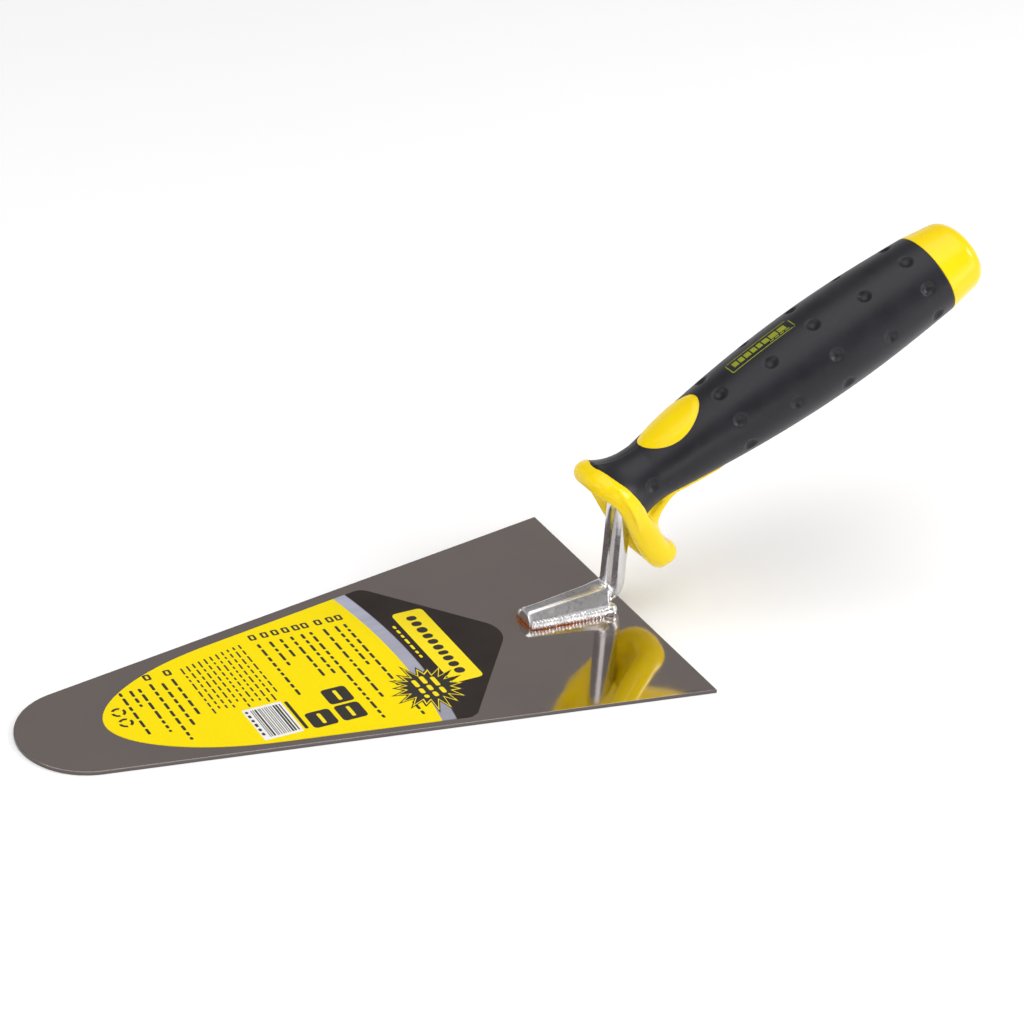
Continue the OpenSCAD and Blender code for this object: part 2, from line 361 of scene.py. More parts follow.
def blade_steel():
    m = Recipe("blade_steel", Metallic=1.0)
    x, y, z = m.axes()
    brushed = m.noise(900, 2, m.stretched((0.03, 1.0, 1.0)))
    clouds = m.noise(22, 3)
    smear = m.noise(70, 4, m.stretched((0.5, 1.0, 1.0)))
    scratch = m.cells(260, m.stretched((0.05, 1.0, 1.0), (0, 0, 0.35)))
    fine = m.span(scratch, 0.0, 0.02, 1.0, 0.0)
    base = m.mix(m.span(clouds, 0.35, 0.7), srgb(208, 200, 196), srgb(198, 192, 190))
    tint_x = m.math("SUBTRACT", x, FOOT_LENGTH - 4)
    ring = m.math("SQRT", m.math("ADD", m.math("POWER", m.math("MAXIMUM", tint_x, 0.0), 2.0),
                                 m.math("POWER", y, 2.0)))
    ring = m.math("ADD", ring, m.span(m.noise(260, 2), 0.3, 0.7, -0.5, 0.5))
    edge = m.math("SUBTRACT", ring, m.span(x, HEEL_BEND, FOOT_LENGTH - 4, 7.6, 5.0))
    toe = m.span(x, 8, 20)
    brown = m.math("MULTIPLY", m.span(edge, 0.3, 1.5, 1.0, 0.0, smooth=True), toe)
    halo = m.math("MULTIPLY", m.span(edge, 1.0, 5.0, 1.0, 0.0, smooth=True), toe)
    straw = m.mix(m.math("MULTIPLY", halo, 0.22), base, srgb(214, 176, 120))
    tinted = m.mix(m.math("MULTIPLY", brown, 0.92), straw, srgb(205, 112, 40))
    cut = m.span(z, BLADE_TOP - 0.02, BLADE_TOP - 0.003, 1.0, 0.0)
    rough = m.math("ADD", m.span(smear, 0.3, 0.8, 0.045, 0.1), m.math("MULTIPLY", brown, 0.25))
    m.set(Base_Color=m.mix(m.math("MULTIPLY", cut, 0.9), tinted, srgb(84, 78, 76)),
          Roughness=m.math("ADD", rough, m.math("MULTIPLY", cut, 0.3)))
    m.bump((brushed, 0.0006), (fine, 0.0004), (clouds, 0.012))
    return m.material


def tang_steel():
    m = Recipe("tang_steel", Metallic=1.0)
    _, _, z = m.axes()
    forged = m.noise(900, 4)
    pits = m.cells(1100)
    broad = m.noise(110, 3, m.stretched((1.0, 1.0, 0.35)))
    base = m.mix(m.span(broad, 0.35, 0.7), srgb(226, 226, 228), srgb(202, 202, 206))
    dark = m.mix(m.span(pits, 0.0, 0.12, 0.35, 0.0), base, srgb(110, 108, 108))
    drawn = m.span(z, 9, 15, 0.0, -0.15)
    m.set(Base_Color=dark, Roughness=m.math("ADD", m.span(forged, 0.3, 0.75, 0.26, 0.38), drawn))
    m.bump((broad, 0.03), (forged, 0.012), (m.span(pits, 0.0, 0.25), 0.005))
    return m.material


def weld_metal():
    m = Recipe("weld_metal", Metallic=1.0)
    scale = m.noise(900, 4)
    patches = m.noise(300, 3)
    _, _, z = m.axes()
    low = m.span(z, BLADE_TOP, BLADE_TOP + 1.1, 1.0, 0.0)
    base = m.mix(m.span(patches, 0.4, 0.65), srgb(232, 232, 234), srgb(198, 197, 198))
    burnt = m.mix(m.math("MULTIPLY", low, 0.55), base, srgb(120, 80, 50))
    m.set(Base_Color=burnt, Roughness=m.span(patches, 0.3, 0.7, 0.24, 0.42))
    m.bump((patches, 0.12), (scale, 0.04))
    return m.material


def hard_plastic():
    m = Recipe("hard_plastic", Specular_IOR_Level=0.28)
    clouds = m.noise(60, 4)
    grain = m.noise(2600, 3)
    flow = m.noise(180, 3, m.stretched((1.0, 0.4, 1.0)))
    base = m.mix(m.span(clouds, 0.3, 0.75), srgb(244, 214, 6), srgb(238, 204, 2))
    scuffed = m.mix(m.span(flow, 0.62, 0.8, 0.0, 0.35), base, srgb(226, 190, 10))
    m.set(Base_Color=scuffed, Roughness=m.span(flow, 0.3, 0.75, 0.2, 0.3))
    m.bump((flow, 0.03), (grain, 0.004))
    return m.material


def soft_grip():
    m = Recipe("soft_grip", Specular_IOR_Level=0.28, Sheen_Weight=0.02, Sheen_Roughness=0.45)
    grain = m.noise(3600, 3)
    pores = m.cells(4200)
    clouds = m.noise(90, 4)
    rubbed = m.noise(260, 4)
    base = m.mix(m.span(clouds, 0.3, 0.75), srgb(27, 26, 31), srgb(35, 34, 40))
    dusty = m.mix(m.span(rubbed, 0.6, 0.85, 0.0, 0.3), base, srgb(56, 55, 60))
    m.set(Base_Color=dusty, Roughness=m.span(clouds, 0.3, 0.7, 0.34, 0.44))
    m.bump((rubbed, 0.01), (grain, 0.016), (pores, 0.008))
    return m.material


def label_film():
    """Printed film: a black end, a metallic band that bows towards the heel, and a yellow field. The band's
    silver print has a painted reflection, lighter and bluer towards -Y and darker towards +Y.
    """
    m = Recipe("label_film", Specular_IOR_Level=0.12)
    x, y, _ = m.axes()
    heel = m.math("SUBTRACT", x, HEEL_X)
    across = m.math("DIVIDE", m.math("SUBTRACT", y, LABEL_SHIFT), 36.0)
    bow = m.math("MULTIPLY", m.math("POWER", across, 2.0), 3.4)
    along = m.math("SUBTRACT", heel, bow)
    fleck = m.noise(2200, 3)
    clouds = m.noise(45, 3)
    ribbed = m.noise(300, 3, m.stretched((0.12, 1.0, 1.0)))
    black = m.mix(m.span(clouds, 0.3, 0.7), srgb(43, 37, 34), srgb(52, 46, 43))
    yellow = m.mix(m.span(fleck, 0.3, 0.7), srgb(245, 222, 0), srgb(238, 212, 0))
    # Silver print with a painted reflection: lighter and bluer towards -Y, darker towards +Y.
    silver_and_painted_reflection = m.mix(m.span(y, -38, 38), srgb(176, 178, 196), srgb(150, 150, 162))
    silver_and_painted_reflection = m.mix(m.span(ribbed, 0.35, 0.7, 0.0, 0.25), silver_and_painted_reflection, srgb(112, 110, 122))
    first = m.mix(m.span(along, 75.6, 76.0), black, silver_and_painted_reflection)
    printed = m.mix(m.span(along, 80.2, 80.4), first, yellow)
    m.set(Base_Color=printed, Roughness=m.span(fleck, 0.3, 0.7, 0.34, 0.46))
    m.bump((clouds, 0.05), (fleck, 0.003))
    return m.material


def ink(name, first, second, roughness=0.42):
    m = Recipe(name, Specular_IOR_Level=0.45)
    speck = m.noise(3000, 3)
    worn = m.noise(400, 4)
    m.set(Base_Color=m.mix(m.span(speck, 0.35, 0.7), first, second),
          Roughness=m.span(worn, 0.3, 0.7, roughness - 0.06, roughness + 0.06))
    m.bump((speck, 0.003))
    return m.material


STEEL = blade_steel()
TANG = tang_steel()
WELD = weld_metal()
PLASTIC = hard_plastic()
GRIP = soft_grip()
FILM = label_film()
BLACK_INK = ink("black_ink", srgb(36, 32, 28), srgb(50, 44, 38))
YELLOW_INK = ink("yellow_ink", srgb(248, 226, 0), srgb(238, 212, 0))
WHITE_INK = ink("white_ink", srgb(238, 238, 234), srgb(224, 224, 222))
GRIP_INK = ink("grip_ink", srgb(150, 158, 24), srgb(118, 126, 22), 0.5)


# ---------------------------------------------------------------- blade and label

NOSE_X = BLADE_LENGTH - NOSE_RADIUS
SIDE_ANGLE = (math.acos(NOSE_RADIUS / math.hypot(NOSE_X, BLADE_HALF_HEEL))
              - math.atan2(NOSE_X, BLADE_HALF_HEEL))


def side_y(x):
    """Half width of the blade at a distance from the heel."""
    return BLADE_HALF_HEEL - x * math.tan(SIDE_ANGLE)


def blade_outline(inset):
    """Outline of the blade, moved in by inset, with x counted from the heel."""
    radius = NOSE_RADIUS - inset
    turn = math.pi / 2 - SIDE_ANGLE
    arc = [(NOSE_X + radius * math.cos(a), radius * math.sin(a))
           for a in np.linspace(-turn, turn, 72)]
    heel_y = side_y(inset) - inset / math.cos(SIDE_ANGLE)
    return [(inset, -heel_y), *arc, (inset, heel_y)]


def slab(rings, shift=(0.0, 0.0)):
    """Closed mesh from (outline, height) rings that have the same number of points."""
    n = len(rings[0][0])
    points = [(x + HEEL_X + shift[0], y + shift[1], z) for outline, z in rings for x, y in outline]
    faces = [[k * n + i, k * n + (i + 1) % n, (k + 1) * n + (i + 1) % n, (k + 1) * n + i]
             for k in range(len(rings) - 1) for i in range(n)]
    faces.append(list(range(n - 1, -1, -1)))
    faces.append([(len(rings) - 1) * n + i for i in range(n)])
    return points, faces


EDGE = 0.14
blade_rings = [(blade_outline(inset), z) for inset, z in (
    (EDGE, 0.0), (0.3 * EDGE, 0.3 * EDGE), (0.0, EDGE),
    (0.0, BLADE_TOP - EDGE), (0.3 * EDGE, BLADE_TOP - 0.3 * EDGE), (EDGE, BLADE_TOP))]
add_piece("blade_sheet", *slab(blade_rings), ["blade"], "blade_steel", STEEL, smooth=False)


def around(points):
    """The convex outline of points in a plane, anticlockwise."""
    ordered = sorted(set((round(x, 5), round(y, 5)) for x, y in points))
    halves = []
    for run in (ordered, ordered[::-1]):
        line = []
        for p in run:
            while len(line) > 1 and ((line[-1][0] - line[-2][0]) * (p[1] - line[-2][1])
                                     <= (line[-1][1] - line[-2][1]) * (p[0] - line[-2][0])):
                line.pop()
            line.append(p)
        halves += line[:-1]
    return halves


def shrink(outline, inset):
    """An outline with each corner moved in."""
    moved = []
    for before, here, after in zip([outline[-1]] + outline[:-1], outline, outline[1:] + outline[:1]):
        dx, dy = after[0] - before[0], after[1] - before[1]
        size = math.hypot(dx, dy)
        moved.append((here[0] - dy / size * inset, here[1] + dx / size * inset))
    return moved


LABEL_START = label_low.x - HEEL_X
LABEL_END = label_high.x - HEEL_X


def label_outline():
    def label_side(x):
        return side_y(x) - LABEL_MARGIN / math.cos(SIDE_ANGLE)
    turn = np.linspace(0, 2 * math.pi, 96, endpoint=False)
    points = [(LABEL_START + LABEL_APEX_RADIUS * (1 + math.cos(a)), LABEL_APEX_RADIUS * math.sin(a))
              for a in turn]
    corner_y = label_side(LABEL_CORNER_X) - LABEL_CORNER_RADIUS
    for side in (-1, 1):
        points += [(LABEL_CORNER_X + LABEL_CORNER_RADIUS * math.cos(a),
                    side * corner_y + LABEL_CORNER_RADIUS * math.sin(a)) for a in turn]
        for t in np.sin(np.linspace(0, math.pi / 2, 40)):
            x = LABEL_NOSE_X + t * (LABEL_END - LABEL_NOSE_X)
            points.append((x, side * label_side(x) * math.sqrt(max(1 - t**2.6, 0))))
    return around(points)


FILM_EDGE = 0.05
film = label_outline()
add_piece("label_sheet", *slab([(film, BLADE_TOP), (film, LABEL_TOP - FILM_EDGE),
                                (shrink(film, FILM_EDGE), LABEL_TOP)], (0, LABEL_SHIFT)),
          ["label"], "label_film", FILM, smooth=False)


# ---------------------------------------------------------------- print on the label

INK_BOTTOM = LABEL_TOP - 0.02
INK_RISE = 0.012


class Print:
    """Thin closed patches of ink on the label, gathered into one piece for each colour."""

    def __init__(self, layer):
        self.points, self.faces = [], []
        self.top = LABEL_TOP + INK_RISE * layer

    def patch(self, outline):
        n, first = len(outline), len(self.points)
        for z in (INK_BOTTOM, self.top):
            self.points += [(x + HEEL_X, y, z) for x, y in outline]
        self.faces += [[first + i, first + (i + 1) % n, first + n + (i + 1) % n, first + n + i]
                       for i in range(n)]
        self.faces.append([first + i for i in range(n - 1, -1, -1)])
        self.faces.append([first + n + i for i in range(n)])

    def box(self, x, y, length, width, round_by=0.0):
        """A patch length along X and width along Y around (x, y), with rounded or cut corners."""
        a, b = length / 2, width / 2
        r = min(round_by, a * 0.98, b * 0.98)
        if r == 0:
            self.patch([(x - a, y - b), (x + a, y - b), (x + a, y + b), (x - a, y + b)])
            return
        outline = []
        corners = ((a - r, -b + r, -90), (a - r, b - r, 0), (-a + r, b - r, 90), (-a + r, -b + r, 180))
        for cx, cy, start in corners:
            for turn in (0, 30, 60, 90):
                angle = math.radians(start + turn)
                outline.append((x + cx + r * math.cos(angle), y + cy + r * math.sin(angle)))
        self.patch(outline)

    def dashes(self, x, y_from, y_to, height, draw, low=2.2, high=6.5):
        """A line of dashes along Y, in place of words."""
        y = y_from
        while y < y_to - 1:
            length = min(draw.uniform(low, high), y_to - y)
            self.box(x, y + length / 2, height, length, height * 0.4)
            y += length + 0.9

    def finish(self, name, material):
        add_piece(name, self.points, self.faces, [], "label_film", material, smooth=False)


draw = random.Random(11)
black, yellow, white, dark = Print(1), Print(2), Print(2), Print(3)

# Badge on the black end, and the star that overlaps the metallic band
yellow.box(66.2, 0.5, 10.6, 41, 1.6)
dark.dashes(66.4, -17, 18, 3.4, draw, 1.8, 3.2)
yellow.dashes(73.6, -14, 5, 0.9, draw, 1.5, 3)


def star(layer, x, y, outer, inner, spikes, rng):
    outline = []
    for k in range(2 * spikes):
        radius = outer * rng.uniform(0.84, 1.12) if k % 2 == 0 else inner * rng.uniform(0.92, 1.04)
        angle = math.pi * k / spikes
        outline.append((x + radius * math.cos(angle), y + radius * math.sin(angle)))
    layer.patch(outline)


STAR_X, STAR_Y = 79, 20
star(black, STAR_X, STAR_Y, 12.6, 8.0, 19, random.Random(5))
star(yellow, STAR_X, STAR_Y, 11.3, 7.1, 19, random.Random(5))
star(dark, STAR_X, STAR_Y, 10.2, 6.4, 19, random.Random(5))
mark = Print(4)
for row, (start, stop) in enumerate(((15.5, 24.5), (14, 26), (15, 25))):
    mark.dashes(STAR_X - 3 + 3 * row, start, stop, 1.5, draw, 2.5, 5)

# Lines of dashes in place of the printed names, each with a small code box
NAME_LINES = ((87, 32), (90, 2), (94, 20), (98.5, 29), (101.5, 3), (105, 3), (108.5, -9), (112, -5), (116, 9))
for x, stop in NAME_LINES:
    black.dashes(x, -21, stop, 0.95, draw, 1.4, 4.4)
    black.box(x, -25, 2.3, 3.0, 0.5)
    yellow.box(x, -25, 0.8, 1.7, 0.2)
for x, y in ((106, 22), (106, 13), (115.5, 22)):
    black.box(x, y, 8, 8, 1.2)
    yellow.box(x, y, 1.2, 5.2, 0.4)

# Bar code
white.box(129, 17.5, 12.4, 16.4, 0.2)
black.box(121.5, 17.5, 1.1, 15, 0.4)
stripe_x = 123.6
while stripe_x < 132.9:
    width = draw.choice((0.25, 0.25, 0.4, 0.6))
    dark.box(stripe_x + width / 2, 17.5, width, 14.2)
    stripe_x += width + draw.choice((0.25, 0.35, 0.5))
dark.dashes(134.3, 10.4, 24.6, 0.9, draw, 1.0, 2.0)

# Block of fine print, then the last lines and the two round marks
for row in range(11):
    black.dashes(121.5 + 2.1 * row, -23 + 0.5 * row, 8.5 - draw.uniform(0, 2.5), 0.6, draw, 1.2, 3.6)
LAST_LINES = ((147, -14, 7), (150.5, -13, 12), (154, -14, 17), (158, -13, 11), (160.7, -13, -4),
              (164, -13, 10))
for x, start, stop in LAST_LINES:
    black.dashes(x, start, stop, 0.95, draw, 1.4, 4.4)
for x in (147, 153.5):
    black.box(x, -17.5, 2.3, 3.0, 0.5)
    yellow.box(x, -17.5, 0.8, 1.7, 0.2)
for y in (-4, 1.7):
    for k in range(3):
        turn = 2 * math.pi * k / 3
        ring = [(168 + r * math.cos(turn + a), y + r * math.sin(turn + a))
                for r, sweep in ((2.3, (0, 0.5, 1.0, 1.5)), (1.4, (1.5, 1.0, 0.5, 0))) for a in sweep]
        black.patch(ring)

black.finish("label_black_ink", BLACK_INK)
yellow.finish("label_yellow_ink", YELLOW_INK)
white.finish("label_white_ink", WHITE_INK)
dark.finish("label_dark_ink", BLACK_INK)
mark.finish("label_star_ink", YELLOW_INK)


# ---------------------------------------------------------------- tang and welds

STEM_FOOT = BLADE_TOP + ROD + 0.05 + HEEL_BEND
MEET_Z = HANDLE_HEIGHT - STEM_OFFSET * math.tan(HANDLE_ANGLE)
BEND_ANGLE = math.pi / 2 - HANDLE_ANGLE
STEM_HEAD = MEET_Z - BEND_RADIUS * math.tan(BEND_ANGLE / 2)


def rod_line():
    """Places along the middle of the tang's rod, from the foot to the end of its tail."""
    heel = [(HEEL_BEND * (1 - math.cos(a)), 0, STEM_FOOT - HEEL_BEND * math.sin(a))
            for a in np.linspace(math.pi / 2, 0, 8)]
    bend = [(-BEND_RADIUS * (1 - math.cos(a)), 0, STEM_HEAD + BEND_RADIUS * math.sin(a))
            for a in np.linspace(0, BEND_ANGLE, 12)]
    x, _, z = bend[-1]
    end = (x - TAIL_LENGTH * math.sin(BEND_ANGLE), 0, z + TAIL_LENGTH * math.cos(BEND_ANGLE))
    return np.array(heel + bend + [end])


ROD_LINE = rod_line()
ROD_RADII = np.array([ROD] * (len(ROD_LINE) - 1) + [0.7 * ROD])


def foot_field(p):
    """Forged wedge of the foot: upright edges, bevelled sides and a flat ridge."""
    x, y, z = p[:, 0], np.abs(p[:, 1]), p[:, 2] - BLADE_TOP
    along = [HEEL_BEND - 1, FOOT_LENGTH - 1.2, FOOT_LENGTH]
    half = np.interp(x, along, [6.2, 4.1, 3.6])
    height = np.interp(x, along, [7.9, 4.7, 4.1])
    ridge = np.interp(x, along, [2.4, 1.7, 1.4])
    edge = 0.4 * height
    lean = np.hypot(height - edge, half - ridge)
    bevel = ((y - ridge) * (height - edge) + (z - height) * (half - ridge)) / lean
    crown = blend_max(bevel, z - height, 0.6)
    sides = blend_max(crown, y - half, 0.7)
    ends = blend_max(x - FOOT_LENGTH, HEEL_BEND - 1 - x, 0.2)
    return np.maximum(blend_max(sides, ends, 0.45), -z)


def tang_field(p):
    rod = chain(p, ROD_LINE, ROD_RADII)
    return np.maximum(blend_min(foot_field(p), rod, 1.6), BLADE_TOP - p[:, 2])


TANG_CELL = 0.4
reach = 0.8
tang_box = [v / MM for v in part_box("tang")]
tang_points, tang_quads = sculpt(
    tang_field, [c - reach for c in tang_box[0]], [c + reach for c in tang_box[1]], TANG_CELL)
add_piece("tang_forging", tang_points, tang_quads, ["tang"], "tang_steel", TANG)

WELD_RIPPLES = 23
WELD_CELL = 0.22
RIPPLE = np.array([0.95, 1.3, 2.5])


def weld_field(side):
    """Weld bead beside the foot: a row of overlapping ripples and a blob at the bend."""
    rng = random.Random(3 + side)
    ripples = []
    for i in range(WELD_RIPPLES):
        t = i / (WELD_RIPPLES - 1)
        ripples.append((np.array([4.4 + t * 25.6, side * (6.1 - 2.1 * t + rng.uniform(-0.12, 0.12)),
                                  BLADE_TOP + 0.2]), RIPPLE * rng.uniform(0.9, 1.08)))
    blob = np.array([3.3, side * 5.5, BLADE_TOP + 1.2])

    def field(p):
        bead = np.full(len(p), 1e9)
        for middle, radii in ripples:
            bead = blend_min(bead, (np.linalg.norm((p - middle) / radii, axis=1) - 1) * radii[0], 0.12)
        bead = blend_min(bead, np.linalg.norm(p - blob, axis=1) - 2.3, 0.6)
        hidden = np.minimum(foot_field(p), chain(p, ROD_LINE[:9], ROD_RADII[:9])) + 0.12
        return np.maximum(np.maximum(bead, -hidden), BLADE_TOP - p[:, 2])
    return field


for name, side in (("weld_left", 1), ("weld_right", -1)):
    low, high = ([c / MM for c in v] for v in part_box(name))
    field = weld_field(side)
    weld_points, weld_quads = sculpt(field, [c - reach for c in low], [c + reach for c in high], WELD_CELL)
    add_piece(name + "_bead", weld_points, weld_quads, [name], "weld_metal", WELD)


# ---------------------------------------------------------------- handle

# The grip's borders: the front line's place at a height, and the height of the lower line at a place
FRONT_LINE = [(-20, -3.3), (-8.1, -3.55), (-3.9, -3.9), (0.6, -4.4), (3.1, -4.95), (5.4, -5.65), (7.2, -6.3),
              (9.0, -7.2), (10.7, -8.0), (12.1, -8.8), (13, -9.7)]
LOWER_LINE = [(-6, -8.6), (-4.2, -8.2), (-1.4, -7.8), (2, -7.5), (6.6, -6.4), (12.9, -7.0), (21.4, -8.4),
              (27, -10.2), (34, -16)]


def grip_side(p, front_shift=0.0):
    """Distance inside the black grip's borders: positive on the grip, negative on the yellow core."""
    w, y, s = p[:, 0], p[:, 1], p[:, 2]
    front = s - curve(w, FRONT_LINE) + front_shift
    lower = w - curve(np.clip(s, -6, 34), LOWER_LINE)
    pad = (np.hypot((s - PAD_S) / PAD_HALF_LENGTH, (y + PAD_SHIFT) / PAD_HALF_WIDTH) - 1) * PAD_HALF_WIDTH
    return np.minimum(np.minimum(front, lower), np.where(w > 0, pad, 9.0))


# Guard rows: [front, rear, half width, height, radius], from the top to the tip of the finger stop
GUARD_RIM = np.array([
    [-12.2, -12.0, 0, 9.9, 3.1],
    [-12.0, -11.7, 4.8, 9.3, 3.1],
    [-10.4, -10.1, 8.6, 6.4, 2.9],
    [-8.8, -8.7, 10.0, 2.0, 2.8],
    [-8.4, -7.7, 10.0, -3.8, 2.9],
    [-8.2, -6.5, 9.0, -10.6, 3.0],
    [-7.6, -5.6, 7.6, -17.4, 3.2],
    [-6.4, -4.8, 6.4, -23.0, 3.4],
    [-4.8, -2.9, 4.4, -26.2, 3.9],
    [-4.4, -2.9, 0, -27.2, 3.9]])
# Throat rows: [place, half width, height, radius]
GUARD_THROAT = np.array([
    [7, 6.5, -7.75, 0.85],
    [1.5, 6.3, -9.35, 1.65],
    [-2.6, 5.5, -12, 2.6],
    [-5, 5.5, -17, 2.4]])


def finer(rows, steps):
    """Rows with smooth steps put between them."""
    places = np.arange(len(rows))
    wanted = np.linspace(0, len(rows) - 1, (len(rows) - 1) * steps + 1)
    return np.stack([curve(wanted, list(zip(places, column))) for column in rows.T], -1)


RIM_ROWS = finer(GUARD_RIM, 3)
THROAT_ROWS = finer(GUARD_THROAT, 3)
WEB_ROWS = RIM_ROWS[2:-3]


def guard_field(p):
    mirrored = np.stack([p[:, 0], np.abs(p[:, 1]), p[:, 2]], -1)
    rim = np.full(len(p), 1e9)
    for share in (0.0, 0.5, 1.0):
        s = RIM_ROWS[:, 0] * (1 - share) + RIM_ROWS[:, 1] * share
        places = np.stack([RIM_ROWS[:, 3], RIM_ROWS[:, 2], s], -1)
        rim = blend_min(rim, chain(mirrored, places, RIM_ROWS[:, 4]), 0.4)
    web = plate(p, WEB_ROWS[:, [3, 1]] + [0, 0.5], WEB_ROWS[:, 2], np.full(len(WEB_ROWS), 2.0))
    throat = plate(p, THROAT_ROWS[:, [2, 0]], THROAT_ROWS[:, 1], THROAT_ROWS[:, 3])
    return blend_min(blend_min(rim, web, 2.6), throat, 2.2)


def outer_field(p):
    """Distance from the grip's outer surface."""
    w, y, s = p[:, 0], p[:, 1], p[:, 2]
    height = half_height(s)
    return (np.hypot((w + axis_drop(s)) / height, y / (height * WIDTH_RATIO)) - 1) * height


def core_field(p):
    s = p[:, 2]
    side = grip_side(p)
    inset = 0.1 + (GRIP_THICKNESS - 0.1) * smoothstep(0.35, 1.1, side)
    pad = np.where(p[:, 0] > 0, smoothstep(0.1, 1.7, -side), 0) * (s > -2)
    below = curve(np.clip(s, -6, 34), LOWER_LINE) - p[:, 0]
    strip = smoothstep(0, 0.6, below) * smoothstep(3, 8, s) * (1 - smoothstep(23, 28, s))
    body = outer_field(p) + inset - (PAD_RISE + 0.1) * pad - STRIP_RISE * strip
    body = blend_max(body, BODY_FRONT - s, 0.3)
    guard = np.full(len(p), 30.0)
    near = s < 14
    guard[near] = guard_field(p[near])
    core = np.maximum(blend_min(body, guard, 1.3), s - BUTT_S)
    under_grip = np.minimum(side + GRIP_LAP, outer_field(p) + 0.1)
    core = np.maximum(core, np.where((s > -11.5) & (p[:, 0] > -12), under_grip, -9.0))
    for start, radius in HOLLOWS:
        core = np.maximum(core, -np.maximum(np.hypot(p[:, 0], p[:, 1]) - radius, start - s))
    bore = np.full(len(p), 30.0)
    held = s < 66
    bore[held] = chain(from_handle(p[held]), ROD_LINE[7:], ROD_RADII[7:] + BORE_GAP)
    return np.maximum(core, -bore)


CORE_CELL = 0.55
core_points, core_quads = sculpt(core_field, (-34, -15.5, -16.5), (15.5, 15.5, BUTT_S + 0.8), CORE_CELL)
add_piece("handle_moulding", from_handle(core_points), core_quads, ["handle_core"], "hard_plastic", PLASTIC)

# Dimples: rings of [place, number around, first angle], and one on each side of the neck
DIMPLE_RINGS = ((34.6, 8, 22.5), (52.9, 6, 30), (70.9, 8, 22.5), (89.3, 6, 30), (107.3, 8, 22.5))
DIMPLES = [(s, math.radians(first + 360 * i / count))
           for s, count, first in DIMPLE_RINGS for i in range(count)]
DIMPLES += [(1.7, math.radians(78)), (1.7, math.radians(-78))]
DIMPLE_BALL = 2.9
DIMPLE_DEPTH = 1.05
DIMPLE_LIFT = DIMPLE_BALL - DIMPLE_DEPTH


def outward(angle):
    """Direction (w, y) that the handle's surface faces at an angle from its upper side."""
    d = np.stack([np.cos(angle), np.sin(angle) / WIDTH_RATIO], -1)
    return d / np.linalg.norm(d, axis=-1, keepdims=True)


def grip_skin(s, angle):
    """Points of the grip's outer surface with its dimples and the faint seam along its top."""
    p = ring_points(s, angle)
    sink = np.zeros(s.shape)
    for place, turn in DIMPLES:
        middle = ring_points(np.array(place, float), np.array(turn))
        off = np.linalg.norm(p - middle, axis=-1)
        bowl = np.sqrt(np.maximum(DIMPLE_BALL**2 - off**2, 0)) - DIMPLE_LIFT
        sink = np.maximum(sink, -blend_min(-bowl, np.zeros(s.shape), 0.12) * (off < DIMPLE_BALL))
    seam = 0.12 * np.exp(-(p[..., 1] / 0.34) ** 2) * (1 - smoothstep(6.5, 8, s)) * (p[..., 0] > 0)
    face = outward(angle)
    p[..., :2] -= (sink - seam)[..., None] * face
    edge = smoothstep(BUTT_S - 0.35, BUTT_S, s) * 0.18
    p[..., :2] -= edge[..., None] * face
    return p


def grip_mesh():
    """The sleeve: its outer skin cut along the borders, an inner skin, and walls between them."""
    rows = np.concatenate([np.arange(-10.6, 34, 0.42), np.arange(34, BUTT_S - 0.5, 0.5),
                           np.linspace(BUTT_S - 0.4, BUTT_S, 4)])
    columns = np.linspace(0, 2 * math.pi, 216, endpoint=False)
    s, angle = (g.astype(float) for g in np.meshgrid(rows, columns, indexing="ij"))
    n = len(columns)
    flat_s, flat_angle = s.ravel(), angle.ravel()
    value = grip_side(ring_points(flat_s, flat_angle), GRIP_OVERHANG)
    corner = np.arange((len(rows) - 1) * n)
    right = (corner // n) * n + (corner + 1) % n
    triangles = np.concatenate([np.stack([corner, corner + n, right + n], -1),
                                np.stack([corner, right + n, right], -1)])
    cut, faces, places = {}, [], [list(flat_s), list(flat_angle)]

    def crossing(a, b):
        key = (min(a, b), max(a, b))
        if key not in cut:
            t = value[key[0]] / (value[key[0]] - value[key[1]])
            turn = (flat_angle[key[1]] - flat_angle[key[0]] + math.pi) % (2 * math.pi) - math.pi
            cut[key] = len(places[0])
            places[0].append(flat_s[key[0]] + t * (flat_s[key[1]] - flat_s[key[0]]))
            places[1].append(flat_angle[key[0]] + t * turn)
        return cut[key]

    kept = value > 0
    score = kept[triangles].sum(1)
    faces += triangles[score == 3].tolist()
    for tri in triangles[(score > 0) & (score < 3)].tolist():
        outline = []
        for a, b in zip(tri, tri[1:] + tri[:1]):
            if kept[a]:
                outline.append(a)
            if kept[a] != kept[b]:
                outline.append(crossing(a, b))
        faces.append(outline)
    all_s, all_angle = np.array(places[0]), np.array(places[1])
    used = np.zeros(len(all_s), bool)
    for f in faces:
        used[f] = True
    number = np.cumsum(used) - 1
    faces = [[int(number[i]) for i in f] for f in faces]
    all_s, all_angle = all_s[used], all_angle[used]
    skin = grip_skin(all_s, all_angle)
    lining = ring_points(all_s, all_angle, GRIP_THICKNESS - 0.02)
    total = len(skin)
    sides = {}
    for f in faces:
        for a, b in zip(f, f[1:] + f[:1]):
            sides[(a, b)] = True
    walls = [[b, a, a + total, b + total] for a, b in sides if (b, a) not in sides]
    inner = [[i + total for i in reversed(f)] for f in faces]
    return from_handle(np.concatenate([skin, lining])), faces + inner + walls


add_piece("grip_moulding", *grip_mesh(), ["grip_sleeve"], "soft_grip", GRIP)


# Outline of the cap's hollow spigot, from its outside to its bottom: (radius, place)
SPIGOT = ((8.58, BUTT_S), (8.58, 101.1), (8.4, 101.0), (7.0, 101.0), (7.0, BUTT_S - 0.3), (3.0, BUTT_S - 0.1))


